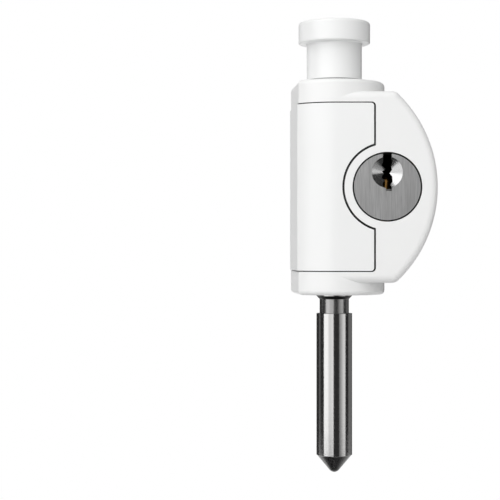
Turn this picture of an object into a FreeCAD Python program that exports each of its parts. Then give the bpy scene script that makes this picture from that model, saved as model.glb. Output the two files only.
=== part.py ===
import FreeCAD, Part
import math
import os
import re
import Sketcher
from FreeCAD import Placement, Rotation, Vector

# Window lock with a hand-lifted round bolt and a key cylinder.
# Origin: on the mounting face, behind the bolt axis, at mid height of the housing.
# +X points to the key side, -Y out of the mounting face towards the user, +Z up.
# A depth is a distance in front of the mounting face, so it is a length along -Y.

# Driving sizes in millimetres, angles in degrees
SIZES = {
    # Housing
    "body_height": 58.9,
    "body_depth": 25.0,
    "axis_depth": 11.0,
    "wall_front_x": 10.35,
    "wall_back_x": 11.8,
    "edge_round": 1.2,
    "corner_round": 1.3,
    "wing_height": 52.1,
    "wing_reach": 27.4,
    "wing_radius": 35.3,
    "wing_corner": 2.7,
    "wing_round": 2.0,
    "wing_inset": 0.03,
    "wing_wall": 2.1,
    "pocket_front_wall": 3.0,
    "rim_wall": 1.6,
    # Screw cover
    "cover_height": 45.8,
    "cover_right_x": 10.2,
    "cover_arc_radius": 11.9,
    "cover_wall": 1.2,
    "cover_stand": 0.3,
    "cover_back": 1.2,
    "cover_gap": 0.3,
    "cover_side_gap": 0.5,
    "cover_arc_gap": 0.4,
    "cover_fit": 0.15,
    "cover_corner": 0.8,
    "peg_radius": 1.5,
    "peg_length": 5.0,
    "peg_x": -3.4,
    "peg_z": 12.0,
    # Fixing holes for the frame screws
    "fixing_x": 7.3,
    "fixing_z": 19.3,
    "fixing_hole_radius": 1.8,
    "fixing_head_radius": 3.1,
    "fixing_seat_depth": 15.5,
    # Bolt
    "bolt_diameter": 10.0,
    "bolt_travel": 19.0,
    "bolt_drop": 45.05,
    "groove_diameter": 8.2,
    "groove_floor": 4.0,
    "groove_below": 1.35,
    "tip_half_angle": 40.0,
    "tip_radius": 1.8,
    "tip_bevel": 0.2,
    "spigot_radius": 3.0,
    "spigot_length": 10.5,
    "bolt_in_knob": 2.0,
    # Pull knob
    "stem_diameter": 15.4,
    "stem_length": 11.0,
    "cap_diameter": 20.0,
    "cap_height": 6.0,
    "cap_round": 0.9,
    "stem_round": 0.4,
    "insert_radius": 4.8,
    "insert_length": 9.0,
    "insert_waist": 0.6,
    # Bushes that guide the bolt
    "bush_diameter": 14.0,
    "top_bush_length": 4.1,
    "bottom_bush_length": 6.0,
    "bush_lip": 0.1,
    "friction_ring_wire": 1.4,
    # Stop screw in the bolt's slot
    "stop_below_top": 6.45,
    "stop_thread_radius": 2.0,
    "stop_dog_radius": 1.2,
    "stop_slot_depth": 1.1,
    "stop_socket_radius": 1.0,
    "stop_socket_depth": 2.0,
    # Lock cylinder
    "cylinder_x": 13.56,
    "cylinder_diameter": 18.4,
    "cylinder_gap": 0.25,
    "cylinder_inset": 0.2,
    "head_length": 7.6,
    "flat_half": 8.1,
    "web_depth": 6.0,
    "web_wall": 1.5,
    "end_plate": 1.0,
    "lip": 1.2,
    "plug_diameter": 9.8,
    "plug_offset": 3.95,
    "nose_diameter": 8.4,
    "dish_depth": 1.1,
    "dish_floor_radius": 0.6,
    "slot_width": 2.4,
    "keyway_floor": 2.3,
    "keyway_half": 1.45,
    "keyway_drop": 4.55,
    "keyway_foot": 0.5,
    "foot_left": 0.4,
    "foot_right": 1.2,
    "tail_radius": 2.5,
    "tail_half_flat": 1.9,
    "chamber_radius": 1.3,
    "chamber_first": 3.4,
    "chamber_last": 3.2,
    "chamber_least_pitch": 3.0,
    "chamber_cover": 0.7,
    "pin_radius": 1.15,
    "driver_length": 3.2,
    "spring_wire": 0.36,
    "spring_coils": 4.0,
    "tip_step": 0.45,
    # Cylinder screw
    "cylinder_screw_x": 6.45,
    "cylinder_screw_z": -2.8,
    "cylinder_screw_radius": 1.25,
    "cylinder_screw_head": 2.0,
    "cylinder_screw_length": 6.0,
    # Cam and latch
    "cam_radius": 4.2,
    "cam_thickness": 1.4,
    "cam_floor": 0.5,
    "cam_clearance": 1.0,
    "crank": 1.5,
    "crank_pin_radius": 1.0,
    "latch_half_width": 2.7,
    "latch_top": 6.0,
    "latch_thickness": 2.8,
    "tongue_height": 3.4,
    "tongue_past_axis": 3.5,
    "tongue_engaged_gap": 0.15,
    # Back plate
    "plate_thickness": 1.5,
    "plate_screw_left_x": 8.0,
    "plate_screw_inset": 3.85,
    "plate_screw_right_x": 18.5,
    "plate_screw_right_z": 14.5,
    "plate_screw_radius": 1.1,
    "plate_screw_head": 2.0,
    "plate_screw_length": 7.0,
    # Clearances
    "run_gap": 0.05,
    "slide_gap": 0.1,
    "seat_gap": 0.02,
    "turn_gap": 0.03,
    "crank_gap": 0.12,
    "thread_gap": 0.03,
    "knob_rest": 0.05,
}

# Places and radii that follow from the driving sizes
PLACES = {
    "half_height": "body_height / 2",
    "boss_radius": "body_depth - axis_depth",
    "wing_half": "wing_height / 2",
    "wing_depth": "body_depth - wing_inset",
    "wing_centre_x": "wing_reach - wing_radius",
    "wing_corner_x": "wing_centre_x + sqrt(wing_radius^2 - wing_half^2)",
    "cover_half": "(cover_height - cover_gap) / 2",
    "recess_half": "(cover_height + cover_gap) / 2",
    "recess_right_x": "cover_right_x + cover_side_gap / 2",
    "recess_skin": "cover_wall + cover_fit",
    "collar_radius": "cover_arc_radius - cover_arc_gap / 2",
    "bolt_radius": "bolt_diameter / 2",
    "bore_radius": "bolt_radius + run_gap",
    "bush_radius": "bush_diameter / 2",
    "groove_radius": "groove_diameter / 2",
    "groove_cut": "bolt_radius - groove_radius",
    "lower_groove_top": "-half_height - groove_below",
    "upper_groove_top": "lower_groove_top + bolt_travel",
    "latch_level": "upper_groove_top - groove_floor / 2",
    "bolt_end": "-half_height - bolt_drop",
    "knob_base": "half_height + knob_rest",
    "cap_base": "knob_base + stem_length",
    "knob_top": "cap_base + cap_height",
    "bolt_top": "knob_base + bolt_in_knob",
    "insert_base": "bolt_top + seat_gap",
    "ring_radius": "bolt_radius + run_gap + friction_ring_wire / 2",
    "ring_z": "half_height - top_bush_length / 2",
    "cylinder_radius": "cylinder_diameter / 2",
    "hole_radius": "cylinder_radius + cylinder_gap",
    "hole_flat": "flat_half + slide_gap / 2",
    "face_depth": "body_depth - cylinder_inset",
    "head_depth": "face_depth - head_length",
    "end_plate_depth": "web_depth + slide_gap / 2",
    "shell_back": "end_plate_depth + end_plate + seat_gap",
    "plug_radius": "plug_diameter / 2",
    "plug_front": "face_depth - lip - turn_gap",
    "plug_back": "shell_back + turn_gap",
    "nose_radius": "nose_diameter / 2",
    "keyway_back": "plug_back + keyway_floor",
    "first_chamber_depth": "plug_front - chamber_first",
    "last_chamber_depth": "shell_back + chamber_last",
    "shear_z": "plug_offset - plug_radius - slide_gap / 2",
    "slot_floor_depth": "web_depth - web_wall",
    "cam_front": "web_depth - slide_gap",
    "cam_back": "cam_front - cam_thickness",
    "cam_seat": "cam_back + cam_floor",
    "crank_swing": "crank * sqrt(0.5)",
    "latch_travel": "2 * crank_swing",
    "latch_x": "cylinder_x + crank_swing",
    "latch_front": "slot_floor_depth - slide_gap",
    "latch_back": "latch_front - latch_thickness",
    "tongue_x": "groove_radius + tongue_engaged_gap + latch_travel",
    "tongue_front": "axis_depth + tongue_past_axis",
    "latch_bottom": "latch_level - tongue_height / 2",
    "tongue_top": "latch_level + tongue_height / 2",
    "pin_hole_radius": "pin_radius + turn_gap",
    "plate_screw_left_z": "half_height - plate_screw_inset",
    "stop_z": "half_height - stop_below_top",
}

# Keyway corners from its open top round to it again, as shares of its half width and drop
KEYWAY = (
    (0.77, 0.76), (1.0, 0.62), (0.7, 0.37), (0.93, 0.16), (0.5, -0.06), (0.96, -0.24),
    (1.0, -0.59), (0.5, -0.74), (0.83, -0.9), (0.8, -1.0), (-0.28, -1.0), (-0.81, -0.86),
    (-0.87, -0.65), (-0.44, -0.5), (-1.0, -0.34), (-0.94, -0.19), (-0.54, -0.07),
    (-0.94, 0.05), (-0.28, 0.2), (-0.97, 0.37), (-0.97, 0.47), (-0.77, 0.62),
)

document = FreeCAD.newDocument("window_lock")
sheet = document.addObject("Spreadsheet::Sheet", "Sizes")
for row, (alias, size) in enumerate(SIZES.items(), start=1):
    sheet.set("A%d" % row, alias)
    sheet.set("B%d" % row, str(size))
    sheet.setAlias("B%d" % row, alias)
document.recompute()


def formula(text):
    """Writes a size expression out in the sheet's own cells."""

    def cell(match):
        word = match.group()
        if word in SIZES:
            return "Sizes." + word
        if word in PLACES:
            return "(" + formula(PLACES[word]) + ")"
        return word

    return re.sub(r"[a-z_][a-z0-9_]*", cell, str(text))


def value(text):
    """The number that a size expression has now."""
    return float(sheet.evalExpression(formula(text)))


# As many pin chambers as the plug's length has room for
CHAMBERS = 1 + int(value("(first_chamber_depth - last_chamber_depth) / chamber_least_pitch"))


def new_body(label, x="0", y="0", z="0"):
    """A body whose own origin stands at the given place."""
    body = document.addObject("PartDesign::Body", label)
    body.Label = label
    body.AllowCompound = True
    body.Placement = Placement(Vector(value(x), value(y), value(z)), Rotation())
    body.setExpression("Placement.Base.x", formula(x))
    body.setExpression("Placement.Base.y", formula(y))
    body.setExpression("Placement.Base.z", formula(z))
    return body


def new_sketch(body, name, role, offset="0"):
    """A sketch on one of the body's origin planes, moved along the plane's normal."""
    plane = next(item for item in body.Origin.OriginFeatures if item.Role == role)
    sketch = body.newObject("Sketcher::SketchObject", name)
    sketch.AttachmentSupport = [(plane, "")]
    sketch.MapMode = "FlatFace"
    sketch.AttachmentOffset = Placement(Vector(0, 0, value(offset)), Rotation())
    sketch.setExpression("AttachmentOffset.Base.z", formula(offset))
    return sketch


def place_point(sketch, geometry, position, x, y):
    """Dimensions a point of the sketch from the sketch's origin."""
    for kind, text in (("DistanceX", x), ("DistanceY", y)):
        constraint = Sketcher.Constraint(kind, -1, 1, geometry, position, value(text))
        index = sketch.addConstraint(constraint)
        sketch.setExpression("Constraints[%d]" % index, formula(text))


def place_radius(sketch, geometry, radius):
    """Dimensions the radius of a circle or an arc."""
    index = sketch.addConstraint(Sketcher.Constraint("Radius", geometry, value(radius)))
    sketch.setExpression("Constraints[%d]" % index, formula(radius))


def arc_through(start, end, radius, turn):
    """An arc of under half a turn; turn is 1 for counter-clockwise and -1 for clockwise."""
    chord = end - start
    height = math.sqrt(max(radius**2 - chord.Length**2 / 4, 0))
    left = Vector(-chord.y, chord.x, 0).normalize()
    centre = (start + end) * 0.5 + left * (turn * height)
    angles = [math.atan2(p.y - centre.y, p.x - centre.x) for p in (start, end)]
    if turn < 0:
        angles.reverse()
    circle = Part.Circle(centre, Vector(0, 0, 1), radius)
    return Part.ArcOfCircle(circle, angles[0], angles[1])


def add_outline(sketch, steps):
    """Closes a loop through the steps: (x, y) ends a line, (x, y, radius, turn) an arc."""
    corners = [Vector(value(step[0]), value(step[1]), 0) for step in steps]
    edges = []
    for index, step in enumerate(steps):
        start, end = corners[index - 1], corners[index]
        if len(step) == 2:
            line = Part.LineSegment(start, end)
            edges.append((sketch.addGeometry(line, False), 1, 2))
            continue
        arc = arc_through(start, end, value(step[2]), step[3])
        ends = (1, 2) if step[3] > 0 else (2, 1)
        edges.append((sketch.addGeometry(arc, False), *ends))
    for index, step in enumerate(steps):
        geometry, _, finish = edges[index]
        following, begin, _ = edges[(index + 1) % len(edges)]
        joint = Sketcher.Constraint("Coincident", geometry, finish, following, begin)
        sketch.addConstraint(joint)
        place_point(sketch, geometry, finish, step[0], step[1])
        if len(step) > 2:
            place_radius(sketch, geometry, step[2])


def add_circle(sketch, x, y, radius):
    """A circle with its centre and radius dimensioned."""
    circle = Part.Circle(Vector(value(x), value(y), 0), Vector(0, 0, 1), value(radius))
    geometry = sketch.addGeometry(circle, False)
    place_point(sketch, geometry, 3, x, y)
    place_radius(sketch, geometry, radius)


def rectangle(left, bottom, right, top):
    """The four corners of a rectangle as outline steps."""
    return [(left, bottom), (right, bottom), (right, top), (left, top)]


def flatted_circle(x, radius, half_flat):
    """A circle with a flat on its left and right, about the point (x, 0)."""
    reach = "sqrt((%s)^2 - (%s)^2)" % (radius, half_flat)
    right, left = "%s + %s" % (x, half_flat), "%s - %s" % (x, half_flat)
    return [
        (right, reach),
        (left, reach, radius, 1),
        (left, "-" + reach),
        (right, "-" + reach, radius, 1),
    ]


def upright_slot(x, low, high, half_width):
    """A slot along the sketch's vertical with round ends at low and high."""
    left, right = "%s - (%s)" % (x, half_width), "%s + %s" % (x, half_width)
    bottom, top = "%s - (%s)" % (low, half_width), "%s + %s" % (high, half_width)
    return [
        (right, high),
        (x, top, half_width, 1),
        (left, high, half_width, 1),
        (left, low),
        (x, bottom, half_width, 1),
        (right, low, half_width, 1),
    ]


def add_pad(body, sketch, length, symmetric=False, backwards=False):
    """Pads a sketch along its normal, which is -Y for the XZ plane."""
    pad = body.newObject("PartDesign::Pad", sketch.Name + "_pad")
    pad.Profile = sketch
    pad.setExpression("Length", formula(length))
    pad.Reversed = backwards
    if symmetric:
        pad.SideType = "Symmetric"
    document.recompute()
    return pad


def add_pocket(body, sketch, length, symmetric=False, backwards=False):
    """Cuts a sketch against its normal, or along it when backwards."""
    before = body.Shape.Volume
    pocket = body.newObject("PartDesign::Pocket", sketch.Name + "_pocket")
    pocket.Profile = sketch
    pocket.setExpression("Length", formula(length))
    pocket.Reversed = backwards
    if symmetric:
        pocket.SideType = "Symmetric"
    document.recompute()
    if body.Shape.Volume >= before or not body.Shape.isValid():
        raise RuntimeError(sketch.Name + " does not cut the body")
    return pocket


def add_turned(body, sketch, kind="PartDesign::Revolution"):
    """Turns a sketch round its own vertical axis, as a solid or as a groove."""
    turned = body.newObject(kind, sketch.Name + "_turned")
    turned.Profile = sketch
    turned.ReferenceAxis = (sketch, ["V_Axis"])
    turned.Angle = 360
    document.recompute()
    return turned


def add_fillet(body, name, radius, chosen):
    """Rounds the edges of the body's last feature that the test chooses."""
    base = body.Tip
    edges = enumerate(base.Shape.Edges, start=1)
    names = ["Edge%d" % index for index, edge in edges if chosen(edge)]
    fillet = body.newObject("PartDesign::Fillet", name)
    fillet.Base = (base, names)
    fillet.setExpression("Radius", formula(radius))
    document.recompute()
    return fillet


def ends_on(edge, axis, place):
    """True when both ends of an edge lie on one plane across an axis."""
    return all(abs(getattr(v.Point, axis) - place) < 0.001 for v in edge.Vertexes)


def wall_steps(skin, depth):
    """Corners of the boss's left wall at a given depth under its outer skin."""
    front_x = "-(wall_front_x - (%s))" % skin
    inner = "(boss_radius - (%s))" % skin
    front_y = "-(axis_depth + sqrt(%s^2 - (wall_front_x - (%s))^2))" % (inner, skin)
    back_x = "-(wall_back_x - (%s))" % skin
    return (front_x, front_y), (back_x, "-(%s)" % depth)


def plate_outline(inset):
    """Outline of the back plate, a given distance inside the housing's outline."""
    half, wing = "half_height - (%s)" % inset, "wing_half - (%s)" % inset
    radius = "wing_radius - (%s)" % inset
    left, right = "-(wall_back_x - (%s))" % inset, "boss_radius - (%s)" % inset
    tip = "wing_centre_x + sqrt((%s)^2 - (%s)^2)" % (radius, wing)
    return [
        (left, "-(%s)" % half),
        (right, "-(%s)" % half),
        (right, "-(%s)" % wing),
        (tip, "-(%s)" % wing),
        (tip, wing, radius, 1),
        (right, wing),
        (right, half),
        (left, half),
    ]


def plate_screw_places():
    """Centres of the four back plate screws."""
    places = []
    for sign in ("-", ""):
        places.append(("-plate_screw_left_x", sign + "plate_screw_left_z"))
        places.append(("plate_screw_right_x", sign + "plate_screw_right_z"))
    return places


def fixing_places():
    """Centres of the four fixing holes."""
    return [(a + "fixing_x", b + "fixing_z") for a in ("-", "") for b in ("-", "")]


def make_wing_block():
    """The D-shaped wing on the key side, with its corners and front edge rounded."""
    body = new_body("wing_block")
    wing = new_sketch(body, "wing", "XZ_Plane")
    add_outline(wing, [
        ("0", "-wing_half"),
        ("wing_corner_x", "-wing_half"),
        ("wing_corner_x", "wing_half", "wing_radius", 1),
        ("0", "wing_half"),
    ])
    add_pad(body, wing, "wing_depth")
    corner, front = value("wing_corner_x"), -value("wing_depth")
    add_fillet(body, "wing_corners", "wing_corner", lambda edge: ends_on(edge, "x", corner)
               and not ends_on(edge, "y", 0) and not ends_on(edge, "y", front))
    add_fillet(body, "wing_front", "wing_round", lambda edge: ends_on(edge, "y", front)
               and not ends_on(edge, "x", 0))
    return body


def make_boss_block():
    """The tall round-fronted boss that holds the bolt, with a drafted left wall."""
    body = new_body("boss_block")
    front, back = wall_steps("0", "0")
    boss = new_sketch(body, "boss", "XY_Plane")
    add_outline(boss, [
        back,
        front,
        ("boss_radius", "-axis_depth", "boss_radius", 1),
        ("boss_radius", "0"),
    ])
    add_pad(body, boss, "body_height", symmetric=True)
    corner, half = -value("wall_front_x"), value("half_height")
    add_fillet(body, "boss_corner", "corner_round", lambda edge: ends_on(edge, "x", corner))
    add_fillet(body, "boss_ends", "edge_round", lambda edge: not ends_on(edge, "y", 0)
               and (ends_on(edge, "z", half) or ends_on(edge, "z", -half)))
    return body


def make_housing_blank():
    """The boss and the wing as one casting, before anything is cut into it."""
    blank = document.addObject("Part::Fuse", "housing_blank")
    blank.Base = make_boss_block()
    blank.Tool = make_wing_block()
    document.recompute()
    if blank.Shape.Volume <= blank.Base.Shape.Volume + blank.Tool.Shape.Volume / 4:
        raise RuntimeError("the wing does not join the boss")
    return blank


def cut_cover_recess(body):
    """The shallow recess that the screw cover sits in, round the cylinder's collar."""
    front, back = wall_steps("recess_skin", "cover_back")
    floor_y, outside_y = "-(body_depth - recess_skin)", "-2 * body_depth"
    outside_x = "-2 * wall_back_x"
    band = new_sketch(body, "recess", "XY_Plane")
    add_outline(band, [
        ("recess_right_x", outside_y),
        ("recess_right_x", floor_y),
        ("0", floor_y),
        (*front, "boss_radius - recess_skin", -1),
        back,
        (outside_x, back[1]),
        (outside_x, outside_y),
    ])
    add_pocket(body, band, "2 * recess_half", symmetric=True)
    right, half = value("recess_right_x"), value("recess_half")
    add_fillet(body, "recess_corners", "cover_corner + cover_gap",
               lambda edge: ends_on(edge, "x", right)
               and (ends_on(edge, "z", half) or ends_on(edge, "z", -half)))
    collar = new_sketch(body, "collar", "XZ_Plane", "wing_depth - 2 * recess_skin")
    add_circle(collar, "cylinder_x", "0", "collar_radius")
    add_pad(body, collar, "2 * recess_skin")
    sockets = new_sketch(body, "peg_sockets", "XZ_Plane", "body_depth")
    for sign in ("-", ""):
        add_circle(sockets, "peg_x", sign + "peg_z", "peg_radius + slide_gap")
    add_pocket(body, sockets, "cover_wall + peg_length + slide_gap")


def cut_cylinder_hole(body):
    """The stepped hole for the key cylinder and the hole for its tail."""
    head = new_sketch(body, "cylinder_head_hole", "XZ_Plane", "body_depth")
    add_circle(head, "cylinder_x", "0", "hole_radius")
    add_pocket(body, head, "body_depth - head_depth + slide_gap")
    shaft = new_sketch(body, "cylinder_shaft_hole", "XZ_Plane", "head_depth")
    add_outline(shaft, flatted_circle("cylinder_x", "hole_radius", "hole_flat"))
    add_pocket(body, shaft, "head_depth - web_depth")
    tail = new_sketch(body, "tail_hole", "XZ_Plane", "web_depth")
    add_circle(tail, "cylinder_x", "plug_offset", "cam_radius + cam_clearance")
    add_pocket(body, tail, "web_depth")
    screw_x, screw_z = "cylinder_x + cylinder_screw_x", "cylinder_screw_z"
    screw = new_sketch(body, "cylinder_screw_hole", "XZ_Plane", "web_depth")
    add_circle(screw, screw_x, screw_z, "cylinder_screw_radius + slide_gap")
    add_pocket(body, screw, "web_depth")
    seat = new_sketch(body, "cylinder_screw_seat", "XZ_Plane", "slot_floor_depth")
    add_circle(seat, screw_x, screw_z, "cylinder_screw_head + slide_gap")
    add_pocket(body, seat, "slot_floor_depth")


def cut_bolt_bore(body):
    """The bolt's bore with a bush seat at each end."""
    bore = new_sketch(body, "bolt_bore", "XY_Plane", "half_height")
    add_circle(bore, "0", "-axis_depth", "bore_radius")
    add_pocket(body, bore, "body_height")
    top = new_sketch(body, "top_bush_seat", "XY_Plane", "half_height")
    add_circle(top, "0", "-axis_depth", "bush_radius + seat_gap")
    add_pocket(body, top, "top_bush_length + bush_lip")
    bottom = new_sketch(body, "bottom_bush_seat", "XY_Plane", "-half_height")
    add_circle(bottom, "0", "-axis_depth", "bush_radius + seat_gap")
    add_pocket(body, bottom, "bottom_bush_length + bush_lip", backwards=True)


def cut_latch_room(body):
    """The room behind the cylinder in which the latch slides, and its tongue's channel."""
    room = new_sketch(body, "latch_room", "XZ_Plane")
    add_outline(room, rectangle(
        "latch_x - latch_half_width - latch_travel - 2 * slide_gap",
        "latch_bottom - slide_gap",
        "latch_x + latch_half_width + 2 * slide_gap",
        "latch_top + slide_gap",
    ))
    add_pocket(body, room, "slot_floor_depth", backwards=True)
    channel = new_sketch(body, "tongue_channel", "XZ_Plane")
    add_outline(channel, rectangle(
        "0",
        "latch_bottom - slide_gap",
        "latch_x",
        "tongue_top + slide_gap",
    ))
    add_pocket(body, channel, "tongue_front + slide_gap", backwards=True)


def cut_back(body):
    """The plate seat, the wing's two hollows and the screw holes, all from behind."""
    plate = new_sketch(body, "plate_seat", "XZ_Plane")
    add_outline(plate, plate_outline("rim_wall - slide_gap"))
    add_pocket(body, plate, "plate_thickness", backwards=True)
    left, low = "boss_radius - 2 * edge_round", "plate_screw_right_z + 2 * rim_wall"
    high, radius = "wing_half - wing_wall", "wing_radius - wing_wall"
    for sign, turn, name in (("", 1, "upper_hollow"), ("-", -1, "lower_hollow")):
        hollow = new_sketch(body, name, "XZ_Plane")
        add_outline(hollow, [
            (left, "%s(%s)" % (sign, low)),
            ("wing_centre_x + sqrt((%s)^2 - (%s)^2)" % (radius, low), "%s(%s)" % (sign, low)),
            ("wing_centre_x + sqrt((%s)^2 - (%s)^2)" % (radius, high), "%s(%s)" % (sign, high),
             radius, turn),
            (left, "%s(%s)" % (sign, high)),
        ])
        add_pocket(body, hollow, "body_depth - pocket_front_wall", backwards=True)
    screws = new_sketch(body, "plate_screw_holes", "XZ_Plane")
    for x, z in plate_screw_places():
        add_circle(screws, x, z, "plate_screw_radius + thread_gap")
    add_pocket(body, screws, "plate_screw_length + slide_gap", backwards=True)
    stop = new_sketch(body, "stop_screw_hole", "XZ_Plane")
    add_circle(stop, "0", "stop_z", "stop_thread_radius + thread_gap")
    add_pocket(body, stop, "axis_depth", backwards=True)


def cut_fixing_holes(body):
    """Four holes through the housing for the frame screws, with seats for their heads."""
    holes = new_sketch(body, "fixing_holes", "XZ_Plane", "body_depth")
    seats = new_sketch(body, "fixing_seats", "XZ_Plane", "body_depth")
    for x, z in fixing_places():
        add_circle(holes, x, z, "fixing_hole_radius")
        add_circle(seats, x, z, "fixing_head_radius")
    add_pocket(body, holes, "body_depth")
    add_pocket(body, seats, "body_depth - fixing_seat_depth")


def make_housing():
    """The cast housing."""
    blank = make_housing_blank()
    body = new_body("housing")
    body.BaseFeature = blank
    document.recompute()
    cut_cover_recess(body)
    cut_cylinder_hole(body)
    cut_bolt_bore(body)
    cut_latch_room(body)
    cut_back(body)
    cut_fixing_holes(body)
    return body


def make_screw_cover():
    """The push-fit cover over the fixing screws, wrapped round the boss's left side."""
    body = new_body("screw_cover")
    back = "cover_back + cover_gap"
    outer_front, outer_back = wall_steps("-cover_stand", back)
    outer_front_y = "-(axis_depth + sqrt(boss_radius^2 - (wall_front_x + cover_stand)^2))"
    inner_front, inner_back = wall_steps("cover_wall", back)
    right = "cover_right_x - cover_side_gap / 2"
    band = new_sketch(body, "cover_band", "XY_Plane")
    add_outline(band, [
        (right, "-body_depth"),
        ("0", "-body_depth"),
        (outer_front[0], outer_front_y, "boss_radius", -1),
        outer_back,
        inner_back,
        inner_front,
        ("0", "-(body_depth - cover_wall)", "boss_radius - cover_wall", 1),
        (right, "-(body_depth - cover_wall)"),
    ])
    add_pad(body, band, "2 * cover_half", symmetric=True)
    right_x, half = value(right), value("cover_half")
    add_fillet(body, "cover_corners", "cover_corner", lambda edge: ends_on(edge, "x", right_x)
               and (ends_on(edge, "z", half) or ends_on(edge, "z", -half)))
    notch = new_sketch(body, "cover_notch", "XZ_Plane", "body_depth")
    add_circle(notch, "cylinder_x", "0", "cover_arc_radius + cover_arc_gap / 2")
    add_pocket(body, notch, "2 * cover_wall")
    pegs = new_sketch(body, "cover_pegs", "XZ_Plane", "body_depth - cover_wall - peg_length")
    for sign in ("-", ""):
        add_circle(pegs, "peg_x", sign + "peg_z", "peg_radius")
    add_pad(body, pegs, "peg_length")
    return body


def make_back_plate():
    """The steel plate that closes the latch room and lies on the frame."""
    body = new_body("back_plate")
    plate = new_sketch(body, "plate", "XZ_Plane")
    add_outline(plate, plate_outline("rim_wall"))
    add_pad(body, plate, "plate_thickness - seat_gap")
    holes = new_sketch(body, "plate_holes", "XZ_Plane")
    for x, z in fixing_places():
        add_circle(holes, x, z, "fixing_hole_radius")
    add_pocket(body, holes, "plate_thickness", backwards=True)
    for index, (x, z) in enumerate(plate_screw_places()):
        sink = body.newObject("PartDesign::SubtractiveCone", "screw_sink_%d" % index)
        set_cone(sink, x, z, "plate_screw_head + slide_gap",
                 "plate_screw_radius + slide_gap", "plate_thickness")
        document.recompute()
    return body


def set_cone(cone, x, z, back_radius, front_radius, length):
    """Stands a cone on the mounting plane, pointing out towards the user."""
    cone.setExpression("Radius1", formula(back_radius))
    cone.setExpression("Radius2", formula(front_radius))
    cone.setExpression("Height", formula(length))
    turned = Rotation(Vector(1, 0, 0), 90)
    cone.Placement = Placement(Vector(value(x), 0, value(z)), turned)
    cone.setExpression("Placement.Base.x", formula(x))
    cone.setExpression("Placement.Base.z", formula(z))


def make_back_plate_screws():
    """Four countersunk screws that hold the back plate."""
    body = new_body("back_plate_screws")
    shanks = new_sketch(body, "screw_shanks", "XZ_Plane", "slide_gap")
    for x, z in plate_screw_places():
        add_circle(shanks, x, z, "plate_screw_radius")
    add_pad(body, shanks, "plate_screw_length - slide_gap")
    for index, (x, z) in enumerate(plate_screw_places()):
        head = body.newObject("PartDesign::AdditiveCone", "screw_head_%d" % index)
        set_cone(head, x, z, "plate_screw_head", "plate_screw_radius",
                 "plate_thickness - slide_gap")
        head.Placement.Base.y = -value("slide_gap")
        head.setExpression("Placement.Base.y", formula("-slide_gap"))
        document.recompute()
    return body


def make_bush(label, base, length):
    """A turned bush with chamfered bore ends."""
    body = new_body(label, y="-axis_depth")
    profile = new_sketch(body, label + "_profile", "XZ_Plane", "0")
    low, high = base, "%s + %s" % (base, length)
    lead = "2 * slide_gap"
    add_outline(profile, [
        ("bore_radius", "%s + %s" % (low, lead)),
        ("bore_radius + %s" % lead, low),
        ("bush_radius", low),
        ("bush_radius", high),
        ("bore_radius + %s" % lead, high),
        ("bore_radius", "%s - (%s)" % (high, lead)),
    ])
    add_turned(body, profile)
    return body


def make_bushes():
    """The top bush, with an inner groove for the friction ring, and the bottom bush."""
    top = make_bush("top_bush", "half_height - top_bush_length - bush_lip", "top_bush_length")
    room = new_sketch(top, "ring_room", "XZ_Plane")
    half = "(friction_ring_wire / 2 + slide_gap)"
    add_outline(room, rectangle(
        "bolt_radius - run_gap",
        "ring_z - %s" % half,
        "ring_radius + %s" % half,
        "ring_z + %s" % half,
    ))
    add_turned(top, room, "PartDesign::Groove")
    bottom = make_bush("bottom_bush", "-half_height + bush_lip", "bottom_bush_length")
    return top, bottom


def make_friction_ring():
    """The rubber ring in the top bush that steadies the bolt."""
    ring = document.addObject("Part::Torus", "friction_ring")
    ring.Label = "friction_ring"
    ring.setExpression("Radius1", formula("ring_radius"))
    ring.setExpression("Radius2", formula("friction_ring_wire / 2"))
    ring.Placement = Placement(Vector(0, -value("axis_depth"), value("ring_z")), Rotation())
    ring.setExpression("Placement.Base.y", formula("-axis_depth"))
    ring.setExpression("Placement.Base.z", formula("ring_z"))
    return ring


def groove_steps(top):
    """One locking groove seen from above: a chamfer, the floor and a square shoulder."""
    return [
        ("bolt_radius", "%s + groove_cut" % top),
        ("groove_radius", top),
        ("groove_radius", "%s - groove_floor" % top),
        ("bolt_radius", "%s - groove_floor" % top),
    ]


def make_bolt():
    """The turned bolt with two locking grooves, a pointed end and a slot for its stop."""
    body = new_body("bolt", y="-axis_depth")
    cone_run = "(bolt_radius - tip_bevel - tip_radius * cos(tip_half_angle * 1deg))"
    cone_end = "bolt_end - %s / tan(tip_half_angle * 1deg)" % cone_run
    tip = "(%s) - tip_radius * (1 - sin(tip_half_angle * 1deg))" % cone_end
    lead = "2 * tip_bevel"
    profile = new_sketch(body, "bolt_profile", "XZ_Plane")
    add_outline(profile, [
        ("0", tip),
        ("tip_radius * cos(tip_half_angle * 1deg)", cone_end, "tip_radius", 1),
        ("bolt_radius - tip_bevel", "bolt_end"),
        ("bolt_radius", "bolt_end + tip_bevel"),
        *reversed(groove_steps("lower_groove_top")),
        *reversed(groove_steps("upper_groove_top")),
        ("bolt_radius", "bolt_top - " + lead),
        ("bolt_radius - " + lead, "bolt_top"),
        ("spigot_radius", "bolt_top"),
        ("spigot_radius", "bolt_top + spigot_length - " + lead),
        ("spigot_radius - " + lead, "bolt_top + spigot_length"),
        ("0", "bolt_top + spigot_length"),
    ])
    add_turned(body, profile)
    slot = new_sketch(body, "stop_slot", "XZ_Plane", "-2 * bolt_radius")
    add_outline(slot, upright_slot("0", "stop_z - bolt_travel", "stop_z",
                                   "stop_dog_radius + slide_gap"))
    add_pocket(body, slot, "bolt_radius + stop_slot_depth", backwards=True)
    return body


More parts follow.
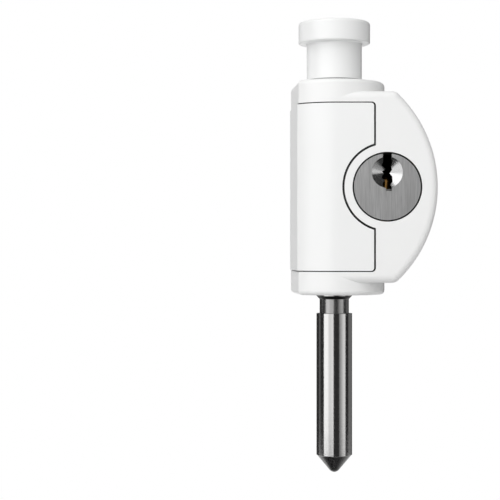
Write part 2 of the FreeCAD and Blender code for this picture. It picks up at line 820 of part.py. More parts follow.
def make_pull_knob():
    """The moulded pull knob: a round stem under a wider cap."""
    body = new_body("pull_knob", y="-axis_depth")
    cavity = "insert_radius + seat_gap"
    profile = new_sketch(body, "knob_profile", "XZ_Plane")
    add_outline(profile, [
        ("bore_radius", "knob_base"),
        ("stem_diameter / 2", "knob_base"),
        ("stem_diameter / 2", "cap_base - stem_round"),
        ("stem_diameter / 2 + stem_round", "cap_base", "stem_round", -1),
        ("cap_diameter / 2 - stem_round", "cap_base"),
        ("cap_diameter / 2", "cap_base + stem_round", "stem_round", 1),
        ("cap_diameter / 2", "knob_top - cap_round"),
        ("cap_diameter / 2 - cap_round", "knob_top", "cap_round", 1),
        ("0", "knob_top"),
        ("0", "bolt_top + spigot_length + slide_gap"),
        ("spigot_radius + slide_gap", "bolt_top + spigot_length + slide_gap"),
        ("spigot_radius + slide_gap", "insert_base + insert_length + seat_gap"),
        (cavity, "insert_base + insert_length + seat_gap"),
        (cavity, "bolt_top"),
        ("bore_radius", "bolt_top"),
    ])
    add_turned(body, profile)
    return body


def make_knob_insert():
    """The threaded brass insert that joins the knob to the bolt."""
    body = new_body("knob_insert", y="-axis_depth")
    waist, third = "insert_radius - insert_waist", "insert_length / 3"
    profile = new_sketch(body, "insert_profile", "XZ_Plane")
    bore = "spigot_radius + thread_gap"
    add_outline(profile, [
        (bore, "insert_base"),
        ("insert_radius", "insert_base"),
        ("insert_radius", "insert_base + " + third),
        (waist, "insert_base + %s + insert_waist" % third),
        (waist, "insert_base + 2 * %s - insert_waist" % third),
        ("insert_radius", "insert_base + 2 * " + third),
        ("insert_radius", "insert_base + insert_length"),
        (bore, "insert_base + insert_length"),
    ])
    add_turned(body, profile)
    return body


def make_stop_screw():
    """The dog-point screw whose tip runs in the bolt's slot."""
    body = new_body("stop_screw", z="stop_z")
    start = "plate_thickness + slide_gap"
    thread_end = "axis_depth - bore_radius - slide_gap"
    thread = new_sketch(body, "stop_thread", "XZ_Plane", start)
    add_circle(thread, "0", "0", "stop_thread_radius")
    add_pad(body, thread, "%s - (%s)" % (thread_end, start))
    dog = new_sketch(body, "stop_dog", "XZ_Plane", start)
    add_circle(dog, "0", "0", "stop_dog_radius")
    add_pad(body, dog, "axis_depth - bolt_radius + stop_slot_depth - slide_gap - (%s)" % start)
    socket = new_sketch(body, "stop_socket", "XZ_Plane", start)
    add_outline(socket, hexagon("stop_socket_radius"))
    add_pocket(body, socket, "stop_socket_depth", backwards=True)
    return body


def hexagon(radius):
    """A hexagon about the sketch's origin."""
    steps = []
    for side in range(6):
        angle = "%ddeg" % (60 * side)
        steps.append(("%s * cos(%s)" % (radius, angle), "%s * sin(%s)" % (radius, angle)))
    return steps


def chamber_depth(index):
    """Depth of one pin chamber's axis."""
    share = "(first_chamber_depth - last_chamber_depth) * %d / %d" % (index, max(CHAMBERS - 1, 1))
    return "first_chamber_depth - %s" % share


def make_cylinder_shell():
    """The cylinder's shell: plug bore, front lip, pin chambers and side flats."""
    body = new_body("cylinder_shell", x="cylinder_x")
    round_bar = new_sketch(body, "shell_round", "XZ_Plane", "shell_back")
    add_circle(round_bar, "0", "0", "cylinder_radius")
    add_pad(body, round_bar, "face_depth - shell_back")
    for sign, name in (("", "right_flat"), ("-", "left_flat")):
        flat = new_sketch(body, name, "XZ_Plane", "head_depth")
        inner, outer = "%sflat_half" % sign, "%s2 * cylinder_radius" % sign
        add_outline(flat, rectangle(inner, "-cylinder_diameter", outer, "cylinder_diameter"))
        add_pocket(body, flat, "head_depth - shell_back")
    bore = new_sketch(body, "plug_bore", "XZ_Plane", "face_depth - lip")
    add_circle(bore, "0", "plug_offset", "plug_radius + turn_gap")
    add_pocket(body, bore, "body_depth")
    nose = new_sketch(body, "nose_hole", "XZ_Plane", "face_depth")
    add_circle(nose, "0", "plug_offset", "nose_radius + turn_gap")
    add_pocket(body, nose, "2 * lip")
    slot = new_sketch(body, "key_slot", "XZ_Plane", "face_depth")
    add_outline(slot, rectangle("-slot_width / 2", "plug_offset", "slot_width / 2",
                                "cylinder_diameter"))
    add_pocket(body, slot, "lip + slide_gap")
    foot = new_sketch(body, "key_slot_foot", "XZ_Plane", "face_depth")
    add_outline(foot, rectangle("-foot_left", "plug_offset - keyway_drop - keyway_foot",
                                "foot_right", "plug_offset"))
    add_pocket(body, foot, "lip + slide_gap")
    chambers = new_sketch(body, "chambers", "XY_Plane", "-cylinder_diameter")
    for index in range(CHAMBERS):
        add_circle(chambers, "0", "-(%s)" % chamber_depth(index), "chamber_radius")
    add_pocket(body, chambers, "cylinder_diameter", backwards=True)
    strip = new_sketch(body, "strip_slot", "XY_Plane", "-cylinder_diameter")
    add_outline(strip, strip_outline("slide_gap / 2"))
    add_pocket(body, strip, "cylinder_diameter - cylinder_radius + chamber_cover",
               backwards=True)
    screw = new_sketch(body, "shell_thread", "XZ_Plane", "shell_back")
    add_circle(screw, "cylinder_screw_x", "cylinder_screw_z",
               "cylinder_screw_radius + thread_gap")
    add_pocket(body, screw, "cylinder_screw_length", backwards=True)
    return body


def strip_outline(gap):
    """Outline of the strip that closes the pin chambers, seen from below."""
    half_width = "chamber_radius + slide_gap + (%s)" % gap
    front = "first_chamber_depth + chamber_radius + 2 * slide_gap + (%s)" % gap
    back = "%s - chamber_radius - 2 * slide_gap - (%s)" % (chamber_depth(CHAMBERS - 1), gap)
    return rectangle("-(%s)" % half_width, "-(%s)" % front, half_width, "-(%s)" % back)


def make_chamber_cover():
    """The strip that closes the pin chambers."""
    body = new_body("chamber_cover", x="cylinder_x")
    strip = new_sketch(body, "strip", "XY_Plane", "-cylinder_radius + seat_gap")
    add_outline(strip, strip_outline("0"))
    add_pad(body, strip, "chamber_cover - 2 * seat_gap")
    return body


def make_end_plate():
    """The plate between the cylinder's back and the housing's web."""
    body = new_body("cylinder_end_plate", x="cylinder_x")
    disc = new_sketch(body, "end_disc", "XZ_Plane", "end_plate_depth")
    add_outline(disc, flatted_circle("0", "cylinder_radius", "flat_half"))
    add_circle(disc, "0", "plug_offset", "tail_radius + slide_gap")
    add_circle(disc, "cylinder_screw_x", "cylinder_screw_z", "cylinder_screw_radius + slide_gap")
    add_pad(body, disc, "end_plate")
    return body


def make_cylinder_screw():
    """The screw that pulls the cylinder against the web from behind."""
    body = new_body("cylinder_screw", x="cylinder_x + cylinder_screw_x", z="cylinder_screw_z")
    head_back = "plate_thickness + 3 * slide_gap"
    head = new_sketch(body, "cylinder_screw_head_round", "XZ_Plane", head_back)
    add_circle(head, "0", "0", "cylinder_screw_head")
    add_pad(body, head, "slot_floor_depth - (%s)" % head_back)
    shank = new_sketch(body, "cylinder_screw_shank", "XZ_Plane", "slot_floor_depth - seat_gap")
    add_circle(shank, "0", "0", "cylinder_screw_radius")
    add_pad(body, shank, "shell_back + cylinder_screw_length - slide_gap - slot_floor_depth")
    drive = new_sketch(body, "cylinder_screw_drive", "XZ_Plane", head_back)
    add_outline(drive, hexagon("cylinder_screw_head / 2"))
    add_pocket(body, drive, "(slot_floor_depth - (%s)) / 2" % head_back, backwards=True)
    return body


def keyway_steps():
    """The warded keyway about the plug's axis, open at its top."""
    top = "plug_offset + plug_radius + lip"
    steps = [("slot_width / 2", top)]
    for across, up in KEYWAY:
        steps.append(("%s * keyway_half" % across, "plug_offset + %s * keyway_drop" % up))
    steps.append(("-slot_width / 2", top))
    return steps


def make_key_plug():
    """The plug that the key turns, with its dished nose, keyway, pin holes and tail."""
    body = new_body("key_plug", x="cylinder_x")
    barrel = new_sketch(body, "plug_barrel", "XZ_Plane", "plug_back")
    add_circle(barrel, "0", "plug_offset", "plug_radius")
    add_pad(body, barrel, "plug_front - plug_back")
    nose = new_sketch(body, "plug_nose", "XZ_Plane", "plug_front - lip")
    add_circle(nose, "0", "plug_offset", "nose_radius")
    add_pad(body, nose, "face_depth - plug_front + lip")
    tail = new_sketch(body, "plug_tail", "XZ_Plane", "cam_seat")
    add_circle(tail, "0", "plug_offset", "tail_radius")
    add_pad(body, tail, "plug_back - cam_seat + lip")
    for sign, name in (("", "tail_top_flat"), ("-", "tail_bottom_flat")):
        flat = new_sketch(body, name, "XZ_Plane", "cam_front + slide_gap")
        near = "plug_offset + %stail_half_flat" % sign
        far = "plug_offset + %s2 * tail_radius" % sign
        add_outline(flat, rectangle("-2 * tail_radius", near, "2 * tail_radius", far))
        add_pocket(body, flat, "cam_front + slide_gap")
    dish = new_sketch(body, "plug_dish", "XY_Plane", "plug_offset")
    add_outline(dish, [
        ("0", "-(face_depth - dish_depth)"),
        ("dish_floor_radius", "-(face_depth - dish_depth)"),
        ("nose_radius", "-face_depth"),
        ("nose_radius", "-(face_depth + lip)"),
        ("0", "-(face_depth + lip)"),
    ])
    add_turned(body, dish, "PartDesign::Groove")
    keyway = new_sketch(body, "keyway", "XZ_Plane", "face_depth + lip")
    add_outline(keyway, keyway_steps())
    add_pocket(body, keyway, "face_depth + lip - keyway_back")
    for index in range(CHAMBERS):
        hole = new_sketch(body, "pin_hole_%d" % index, "XY_Plane", "plug_offset - plug_diameter")
        add_circle(hole, "0", "-(%s)" % chamber_depth(index), "pin_hole_radius")
        add_pocket(body, hole, "plug_diameter - lip", backwards=True)
    return body


def make_key_pins():
    """The pins in the plug, each of its own length, with pointed tips."""
    pins = []
    for index in range(CHAMBERS):
        base = "plug_offset - sqrt(plug_radius^2 - pin_radius^2)"
        length = "plug_radius - pin_radius - tip_step * (1 + %d)" % ((index * 2 + 1) % CHAMBERS)
        shank = document.addObject("Part::Cylinder", "pin_shank_%d" % index)
        shank.setExpression("Radius", formula("pin_radius"))
        shank.setExpression("Height", formula(length))
        tip = document.addObject("Part::Cone", "pin_tip_%d" % index)
        tip.setExpression("Radius1", formula("pin_radius"))
        tip.setExpression("Radius2", formula("pin_radius / 3"))
        tip.setExpression("Height", formula("2 * pin_radius / 3"))
        for piece, height in ((shank, base), (tip, "%s + %s" % (base, length))):
            set_place(piece, "cylinder_x", "-(%s)" % chamber_depth(index), height)
        pin = document.addObject("Part::Fuse", "key_pin_%d" % index)
        pin.Base, pin.Tool = shank, tip
        pins.append(pin)
    return group("key_pins", pins)


def set_place(piece, x, y, z):
    """Binds the place of a primitive to size expressions."""
    piece.Placement = Placement(Vector(value(x), value(y), value(z)), Rotation())
    for axis, text in (("x", x), ("y", y), ("z", z)):
        piece.setExpression("Placement.Base." + axis, formula(text))


def group(label, pieces):
    """Joins separate solids into one sub-part."""
    compound = document.addObject("Part::Compound", label)
    compound.Label = label
    compound.Links = pieces
    return compound


def make_driver_pins():
    """The pins under the plug that the springs push up."""
    pins = []
    for index in range(CHAMBERS):
        pin = document.addObject("Part::Cylinder", "driver_pin_%d" % index)
        pin.setExpression("Radius", formula("pin_radius"))
        pin.setExpression("Height", formula("driver_length"))
        set_place(pin, "cylinder_x", "-(%s)" % chamber_depth(index), "shear_z - driver_length")
        pins.append(pin)
    return group("driver_pins", pins)


def make_driver_springs():
    """The coil springs under the driver pins."""
    springs = []
    low = "-cylinder_radius + chamber_cover + slide_gap + spring_wire / 2"
    high = "shear_z - driver_length - slide_gap - spring_wire / 2"
    for index in range(CHAMBERS):
        path = document.addObject("Part::Helix", "spring_path_%d" % index)
        path.setExpression("Radius", formula("pin_radius - spring_wire / 2"))
        path.setExpression("Height", formula("%s - (%s)" % (high, low)))
        path.setExpression("Pitch", formula("(%s - (%s)) / spring_coils" % (high, low)))
        set_place(path, "cylinder_x", "-(%s)" % chamber_depth(index), low)
        wire = document.addObject("Part::Circle", "spring_wire_%d" % index)
        wire.setExpression("Radius", formula("spring_wire / 2"))
        start_x = "cylinder_x + pin_radius - spring_wire / 2"
        set_place(wire, start_x, "-(%s)" % chamber_depth(index), low)
        wire.Placement.Rotation = Rotation(Vector(1, 0, 0), 90)
        spring = document.addObject("Part::Sweep", "driver_spring_%d" % index)
        spring.Sections = [wire]
        spring.Spine = (path, ["Edge1"])
        spring.Solid = True
        spring.Frenet = True
        springs.append(spring)
    return group("driver_springs", springs)


def make_tail_cam():
    """The cam on the plug's tail, with the crank pin that drives the latch."""
    body = new_body("tail_cam", x="cylinder_x")
    disc = new_sketch(body, "cam_disc", "XZ_Plane", "cam_back")
    add_circle(disc, "0", "plug_offset", "cam_radius")
    add_pad(body, disc, "cam_thickness")
    hole = new_sketch(body, "cam_hole", "XZ_Plane", "cam_seat - seat_gap")
    flat = "tail_half_flat + seat_gap"
    radius = "tail_radius + seat_gap"
    reach = "sqrt((%s)^2 - (%s)^2)" % (radius, flat)
    high, low = "plug_offset + " + flat, "plug_offset - (%s)" % flat
    add_outline(hole, [
        (reach, low),
        (reach, high, radius, 1),
        ("-" + reach, high),
        ("-" + reach, low, radius, 1),
    ])
    add_pocket(body, hole, "cam_thickness", backwards=True)
    pin = new_sketch(body, "crank_pin", "XZ_Plane", "latch_back + slide_gap")
    add_circle(pin, "crank_swing", "plug_offset - crank_swing", "crank_pin_radius")
    add_pad(body, pin, "cam_back - latch_back - slide_gap")
    return body


def make_latch():
    """The latch: a slide behind the cylinder with a tongue that enters the bolt's groove."""
    body = new_body("latch")
    slide = new_sketch(body, "latch_slide", "XZ_Plane", "latch_back")
    left, right = "latch_x - latch_half_width", "latch_x + latch_half_width"
    add_outline(slide, [
        ("tongue_x", "latch_bottom"),
        (right, "latch_bottom"),
        (right, "latch_top"),
        (left, "latch_top"),
        (left, "tongue_top"),
        ("tongue_x", "tongue_top"),
    ])
    add_pad(body, slide, "latch_thickness")
    tongue = new_sketch(body, "latch_tongue", "XZ_Plane", "latch_back")
    add_outline(tongue, rectangle("tongue_x", "latch_bottom", left, "tongue_top"))
    add_pad(body, tongue, "tongue_front - latch_back")
    slot = new_sketch(body, "crank_slot", "XZ_Plane", "latch_back")
    add_outline(slot, upright_slot("latch_x", "plug_offset - crank", "plug_offset - crank_swing",
                                   "crank_pin_radius + crank_gap"))
    add_pocket(body, slot, "latch_thickness", backwards=True)
    return body


def main():
    """Makes every piece, checks it and writes its file."""
    pieces = [
        make_housing(),
        make_screw_cover(),
        make_back_plate(),
        make_back_plate_screws(),
        *make_bushes(),
        make_friction_ring(),
        make_bolt(),
        make_pull_knob(),
        make_knob_insert(),
        make_stop_screw(),
        make_cylinder_shell(),
        make_chamber_cover(),
        make_end_plate(),
        make_cylinder_screw(),
        make_key_plug(),
        make_key_pins(),
        make_driver_pins(),
        make_driver_springs(),
        make_tail_cam(),
        make_latch(),
    ]
    document.recompute()
    for item in document.Objects:
        if "Invalid" in item.State or "Error" in item.State:
            raise RuntimeError("%s failed: %s" % (item.Name, item.State))
    for piece in pieces:
        if piece.Shape.isNull() or not piece.Shape.isValid():
            raise RuntimeError(piece.Label + " has no valid shape")
    os.makedirs("parts", exist_ok=True)
    for piece in pieces:
        piece.Shape.exportStep("parts/%s.step" % piece.Label)
        print(piece.Label, len(piece.Shape.Solids), round(piece.Shape.Volume, 2))


main()
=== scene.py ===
import math

import bpy
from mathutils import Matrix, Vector

# Looks for the window lock: materials on the CAD pieces, studio and camera.
# Lengths are in metres in the row's frame: +X to the key's side, -Y to the user, +Z up.

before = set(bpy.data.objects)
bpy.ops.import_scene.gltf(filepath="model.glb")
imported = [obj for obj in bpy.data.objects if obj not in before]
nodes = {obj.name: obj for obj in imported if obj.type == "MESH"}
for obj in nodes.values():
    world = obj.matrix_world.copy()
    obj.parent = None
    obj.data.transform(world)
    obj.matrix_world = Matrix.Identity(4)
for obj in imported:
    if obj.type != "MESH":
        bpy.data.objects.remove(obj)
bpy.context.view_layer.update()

MM = 0.001
X, Y, Z = 0, 1, 2
AXIS_Y = -11 * MM
BOLT_AXIS = (0, AXIS_Y, 0)
CYLINDER_AXIS = (13.56 * MM, 0, 0)
PLUG_AXIS = (13.56 * MM, 0, 3.95 * MM)

# A Mix node's colour sockets: the two that go in, and the one that comes out
MIX_INPUTS = (6, 7)
MIX_OUTPUT = 2
# Between which values nearly all of a noise lies
NOISE_RANGE = (0.3, 0.7)

# Sizes of the patterns, in cells per metre
PAINT_CLOUD = 70
PAINT_WEAR = 240
METAL_CLOUD = 220
SOFT_CLOUD = 150
END_WEAR = (500, 500, 500)
SHAFT_WEAR_ACROSS = 60
SHAFT_WEAR_ALONG = 3000

# How far each kind of finish varies in roughness, as shares of its middle value
PAINT_VARIES = (0.95, 1.06)
TURNED_VARIES = (0.85, 1.18)
BRUSHED_VARIES = (0.82, 1.2)
SOFT_VARIES = (0.9, 1.1)

# Brushing: the coarse grain's cells as a share of the fine one's, and what goes into the mix
COARSE_CELLS = 0.35
FINE_SHARE, COARSE_SHARE = 0.6, 0.4
LINE_SHARE, CLOUD_SHARE = 0.7, 0.3

# Strengths of the bumps
PAINT_BUMPS = (0.35, 0.1)
TURNED_BUMP = 0.25
BRUSHED_BUMP = 0.4
SOFT_BUMP = 0.5

# Lathe marks: finer marks to each ring, and their depth as a share of the pitch
MARKS_PER_RING = 2.1
RING_DEPTH = 0.02

# Colours, darker and lighter tone
WHITE = (0.86, 0.862, 0.857)
PLASTIC_WHITE = (0.86, 0.864, 0.86)
WHITE_DARKER = 0.99
STEEL = ((0.48, 0.475, 0.47), (0.57, 0.565, 0.56))
ZINC = ((0.55, 0.56, 0.57), (0.68, 0.69, 0.70))
BRASS = ((0.58, 0.37, 0.13), (0.78, 0.55, 0.24))
PIN_BRASS = ((0.3, 0.15, 0.04), (0.55, 0.3, 0.09))
SATIN_NICKEL = ((0.48, 0.48, 0.48), (0.75, 0.75, 0.75))
BRIGHT_NICKEL = ((0.5, 0.5, 0.5), (0.6, 0.6, 0.6))
ACETAL = ((0.74, 0.73, 0.69), (0.8, 0.79, 0.75))
RUBBER = ((0.015, 0.015, 0.015), (0.03, 0.03, 0.03))
# The dark tone that painted shade blends a finish towards, and how rough painted shade makes
# turned metal
PAINTED_SHADE_TONE = (0.012, 0.012, 0.012)
SHADE_ROUGHNESS = 0.7

# Where shade is painted into the gaps, from the housing's own sizes
BOSS_RADIUS = 14 * MM
WALL_BACK_X = 11.8 * MM
WALL_BACK_Y = 0.0
WALL_LEAN = 0.071
COVER_BACK_X = 12.1 * MM
COVER_BACK_Y = -1.5 * MM
COVER_LEAN = 0.078
GAP_FADE = (0.05 * MM, 0.12 * MM)
RECESS_HALF = 23.07 * MM
RECESS_RIGHT = 10.47 * MM
RECESS_BACK = -1.1 * MM
COLLAR_RADIUS = 11.7 * MM
NOTCH_RADIUS = 12.1 * MM
RIM_SHADOW = 0.09 * MM
HOLE_RADIUS = 9.55 * MM
HOLE_FRONT = -24.97 * MM
KNOB_FADE = (30.25 * MM, 30.42 * MM)
KNOB_SHADE = 0.8

# Where shade is painted on the bolt and the cylinder, and how much
BOLT_INNER = 4.9 * MM
BOLT_SHADE = 0.35
FLANK = (4.15 * MM, 4.97 * MM)
FLANK_BOTTOM = -40 * MM
FLANK_SHADE = 0.85
KEYWAY_FADE = (-23.75 * MM, -23.3 * MM)
SLOT_FADE = (-24.78 * MM, -24.7 * MM)
EDGE_FADE = (9.0 * MM, 9.05 * MM)


class Graph:
    """A material's node tree, with short ways to add the nodes used here."""

    def __init__(self, name):
        self.material = bpy.data.materials.new(name)
        self.material.use_nodes = True
        self.tree = self.material.node_tree
        self.tree.nodes.clear()
        self.shader = self.add("ShaderNodeBsdfPrincipled")
        self.output = self.add("ShaderNodeOutputMaterial")
        self.link(self.shader.outputs["BSDF"], self.output.inputs["Surface"])
        self.place = self.add("ShaderNodeTexCoord").outputs["Object"]

    def add(self, kind, **settings):
        """A new node with its settings."""
        node = self.tree.nodes.new(kind)
        for key, setting in settings.items():
            setattr(node, key, setting)
        return node

    def link(self, source, target):
        """Joins an output socket to an input socket."""
        self.tree.links.new(source, target)

    def moved(self, centre=(0, 0, 0), scale=(1, 1, 1)):
        """Object coordinates counted from a centre and scaled along each axis."""
        mapping = self.add("ShaderNodeMapping", vector_type="POINT")
        mapping.inputs["Scale"].default_value = scale
        mapping.inputs["Location"].default_value = [-c * s for c, s in zip(centre, scale)]
        self.link(self.place, mapping.inputs["Vector"])
        return mapping.outputs["Vector"]

    def axes(self, vector=None):
        """The x, y and z of a vector, by default the place on the object."""
        node = self.add("ShaderNodeSeparateXYZ")
        self.link(vector or self.place, node.inputs["Vector"])
        return node.outputs["X"], node.outputs["Y"], node.outputs["Z"]

    def noise(self, scale, detail, vector=None):
        """Noise of so many cells per metre."""
        node = self.add("ShaderNodeTexNoise")
        node.inputs["Scale"].default_value = scale
        node.inputs["Detail"].default_value = detail
        self.link(vector or self.place, node.inputs["Vector"])
        return node.outputs["Fac"]

    def math(self, operation, first, second=None):
        """A maths node on sockets or numbers."""
        node = self.add("ShaderNodeMath", operation=operation)
        for socket, item in zip(node.inputs, (first, second)):
            if item is None:
                continue
            if isinstance(item, (int, float)):
                socket.default_value = item
            else:
                self.link(item, socket)
        return node.outputs["Value"]

    def product(self, first, *others):
        """Several values multiplied: for masks, 1 where all of them are."""
        for other in others:
            first = self.math("MULTIPLY", first, other)
        return first

    def highest(self, first, *others):
        """The highest of several values: for masks, 1 where any of them is."""
        for other in others:
            first = self.math("MAXIMUM", first, other)
        return first

    def between(self, source, low, high):
        """1 where a value lies between two numbers."""
        return self.product(self.math("GREATER_THAN", source, low),
                            self.math("LESS_THAN", source, high))

    def length(self, first, second):
        """The length of a vector with two components."""
        squares = [self.math("MULTIPLY", item, item) for item in (first, second)]
        return self.math("SQRT", self.math("ADD", *squares))

    def spread(self, source, low, high, from_low=NOISE_RANGE[0], from_high=NOISE_RANGE[1]):
        """Maps a pattern to a range of values."""
        node = self.add("ShaderNodeMapRange")
        for name, number in (("From Min", from_low), ("From Max", from_high),
                             ("To Min", low), ("To Max", high)):
            node.inputs[name].default_value = number
        self.link(source, node.inputs["Value"])
        return node.outputs["Result"]

    def varied(self, source, middle, shares):
        """A value that a pattern moves between two shares of its middle."""
        return self.spread(source, middle * shares[0], middle * shares[1])

    def blend(self, factor, *colours):
        """Blends two colours, each a socket or three numbers."""
        node = self.add("ShaderNodeMix", data_type="RGBA")
        self.link(factor, node.inputs["Factor"])
        for number, item in zip(MIX_INPUTS, colours):
            if isinstance(item, (tuple, list)):
                node.inputs[number].default_value = (*item, 1)
            else:
                self.link(item, node.inputs[number])
        return node.outputs[MIX_OUTPUT]

    def colours(self, source, dark, light, shade=None):
        """Blends two colours by a pattern into the base colour, darkened where shade is 1."""
        colour = self.blend(source, dark, light)
        if shade is not None:
            colour = self.blend(shade, colour, PAINTED_SHADE_TONE)
        self.link(colour, self.shader.inputs["Base Color"])

    def bump(self, *layers):
        """Stacks bump layers of (height, depth in metres, strength)."""
        normal = None
        for height, depth, strength in layers:
            node = self.add("ShaderNodeBump")
            node.inputs["Distance"].default_value = depth
            node.inputs["Strength"].default_value = strength
            self.link(height, node.inputs["Height"])
            if normal is not None:
                self.link(normal, node.inputs["Normal"])
            normal = node.outputs["Normal"]
        self.link(normal, self.shader.inputs["Normal"])

    def set(self, values):
        """Sets constant inputs of the shader by name."""
        for name, number in values.items():
            self.shader.inputs[name].default_value = number


# Masks of painted shade, each 0 where a finish keeps its colour and up to 1 where it is painted
# dark as if in shadow

def radius_from(graph, centre, *across):
    """Distance from a line through the centre, measured across two axes."""
    place = graph.axes(graph.moved(centre))
    return graph.length(*(place[axis] for axis in across))


def under_skin(graph, wall_x, wall_y, lean):
    """How deep a point lies under the boss's round front and its drafted left wall."""
    x, y, _ = graph.axes()
    left = graph.math("MAXIMUM", graph.math("MULTIPLY", x, -1.0), 0.0)
    across = graph.math("SUBTRACT", y, AXIS_Y)
    front = graph.math("SUBTRACT", BOSS_RADIUS, graph.length(left, across))
    slope = graph.math("MULTIPLY", graph.math("SUBTRACT", y, wall_y), lean)
    side = graph.math("ADD", graph.math("ADD", x, wall_x), slope)
    return graph.math("MINIMUM", front, side)


def cover_gap_shade(graph):
    """Painted shade: 1 in the recess under the screw cover, in the gap round the cylinder and
    on a thin band along the collar's rim.
    """
    x, y, z = graph.axes()
    skin = under_skin(graph, WALL_BACK_X, WALL_BACK_Y, WALL_LEAN)
    recess = graph.product(graph.math("LESS_THAN", graph.math("ABSOLUTE", z), RECESS_HALF),
                           graph.math("LESS_THAN", x, RECESS_RIGHT),
                           graph.math("LESS_THAN", y, RECESS_BACK),
                           graph.spread(skin, 0, 1, *GAP_FADE))
    radius = radius_from(graph, CYLINDER_AXIS, X, Z)
    hole = graph.product(graph.math("LESS_THAN", radius, HOLE_RADIUS),
                         graph.math("GREATER_THAN", y, HOLE_FRONT))
    collar = graph.between(radius, COLLAR_RADIUS - RIM_SHADOW, COLLAR_RADIUS + RIM_SHADOW)
    rim = graph.product(collar, graph.math("LESS_THAN", x, RECESS_RIGHT - RIM_SHADOW))
    return graph.highest(recess, hole, rim)


def cover_edge_shade(graph):
    """Painted shade: 1 on the cut edges of the screw cover, under its outer skin and along its
    arc.
    """
    skin = under_skin(graph, COVER_BACK_X, COVER_BACK_Y, COVER_LEAN)
    radius = radius_from(graph, CYLINDER_AXIS, X, Z)
    return graph.highest(graph.spread(skin, 0, 1, *GAP_FADE),
                         graph.math("LESS_THAN", radius, NOTCH_RADIUS + RIM_SHADOW))


def knob_foot(graph):
    """Shade along the knob's lower rim, where it stands on the housing in its own shadow."""
    return graph.spread(graph.axes()[Z], KNOB_SHADE, 0, *KNOB_FADE)


def bolt_cuts(graph):
    """Some shade where the bolt is turned down, and more on the flanks of its two grooves."""
    radius = radius_from(graph, BOLT_AXIS, X, Y)
    inner = graph.product(graph.math("LESS_THAN", radius, BOLT_INNER), BOLT_SHADE)
    above_point = graph.math("GREATER_THAN", graph.axes()[Z], FLANK_BOTTOM)
    flank = graph.product(graph.between(radius, *FLANK), above_point, FLANK_SHADE)
    return graph.highest(inner, flank)


def behind(graph, front_y, back_y):
    """0 in front of one plane and 1 behind another, counted along Y."""
    return graph.spread(graph.axes()[Y], 0, 1, front_y, back_y)


def keyway_shade(graph):
    """Painted shade: 1 inside the keyway, behind the floor of the plug's dish."""
    return behind(graph, *KEYWAY_FADE)


def slot_shade(graph):
    """Painted shade: 1 inside the key slot and on the broken edge round the cylinder's face."""
    edge = graph.spread(radius_from(graph, CYLINDER_AXIS, X, Z), 0, 1, *EDGE_FADE)
    return graph.highest(behind(graph, *SLOT_FADE), edge)


# Finishes

def white_coat(name, tone, roughness, grain, depth, shaded):
    """Sprayed or moulded white: an even tone with a fine orange-peel skin, with painted shade
    where its mask is 1.
    """
    graph = Graph(name)
    cloud = graph.spread(graph.noise(PAINT_CLOUD, 2), 0, 1)
    graph.colours(cloud, [t * WHITE_DARKER for t in tone], tone, shaded(graph))
    graph.link(graph.varied(graph.noise(PAINT_WEAR, 3), roughness, PAINT_VARIES),
               graph.shader.inputs["Roughness"])
    fine, coarse = PAINT_BUMPS
    graph.bump((graph.noise(grain, 2), depth, fine), (graph.noise(grain / 4, 1), depth, coarse))
    graph.set({"Specular IOR Level": 0.5})
    return graph.material


def turned_metal(name, tones, roughness, pitch, along=Z, centre=BOLT_AXIS, shaded=None):
    """Metal with lathe marks: fine bands along a shaft, or rings on an end that faces -Y
    where along is None."""
    graph = Graph(name)
    if along is None:
        track = radius_from(graph, centre, X, Z)
        wear_scale = END_WEAR
    else:
        track = graph.axes()[along]
        wear_scale = [SHAFT_WEAR_ACROSS] * 3
        wear_scale[along] = SHAFT_WEAR_ALONG
    rings = graph.math("SINE", graph.math("MULTIPLY", track, 2 * math.pi / pitch))
    marks = graph.add("ShaderNodeTexNoise", noise_dimensions="1D")
    marks.inputs["Scale"].default_value = 1
    marks.inputs["Detail"].default_value = 4
    graph.link(graph.math("MULTIPLY", track, MARKS_PER_RING / pitch), marks.inputs["W"])
    marks = marks.outputs["Fac"]
    wear = graph.noise(1, 3, graph.moved(centre, wear_scale))
    rough = graph.varied(wear, roughness, TURNED_VARIES)
    shade = None
    if shaded:
        shade = shaded(graph)
        rough = graph.highest(rough, graph.product(shade, SHADE_ROUGHNESS))
    graph.colours(graph.spread(marks, 0, 1), *tones, shade)
    graph.link(rough, graph.shader.inputs["Roughness"])
    graph.bump((graph.math("ADD", rings, marks), pitch * RING_DEPTH, TURNED_BUMP))
    graph.set({"Metallic": 1.0})
    return graph.material


def brushed_metal(name, tones, roughness, grain, depth, shaded=None):
    """Metal with straight brushing; the grain runs along the axis of lowest scale."""
    graph = Graph(name)
    fine = graph.noise(1, 4, graph.moved(scale=grain))
    coarse = graph.noise(1, 2, graph.moved(scale=[cells * COARSE_CELLS for cells in grain]))
    lines = graph.math("ADD", graph.product(fine, FINE_SHARE),
                       graph.product(coarse, COARSE_SHARE))
    cloud = graph.noise(METAL_CLOUD, 2)
    mixed = graph.math("ADD", graph.product(lines, LINE_SHARE),
                       graph.product(cloud, CLOUD_SHARE))
    graph.colours(graph.spread(lines, 0, 1), *tones, shaded(graph) if shaded else None)
    graph.link(graph.varied(mixed, roughness, BRUSHED_VARIES), graph.shader.inputs["Roughness"])
    graph.bump((lines, depth, BRUSHED_BUMP))
    graph.set({"Metallic": 1.0})
    return graph.material


def plain_soft(name, tones, roughness, grain, depth):
    """Moulded plastic or rubber with a fine matt skin."""
    graph = Graph(name)
    skin = graph.noise(grain, 3)
    graph.colours(graph.spread(graph.noise(SOFT_CLOUD, 2), 0, 1), *tones)
    graph.link(graph.varied(skin, roughness, SOFT_VARIES), graph.shader.inputs["Roughness"])
    graph.bump((skin, depth, SOFT_BUMP))
    return graph.material
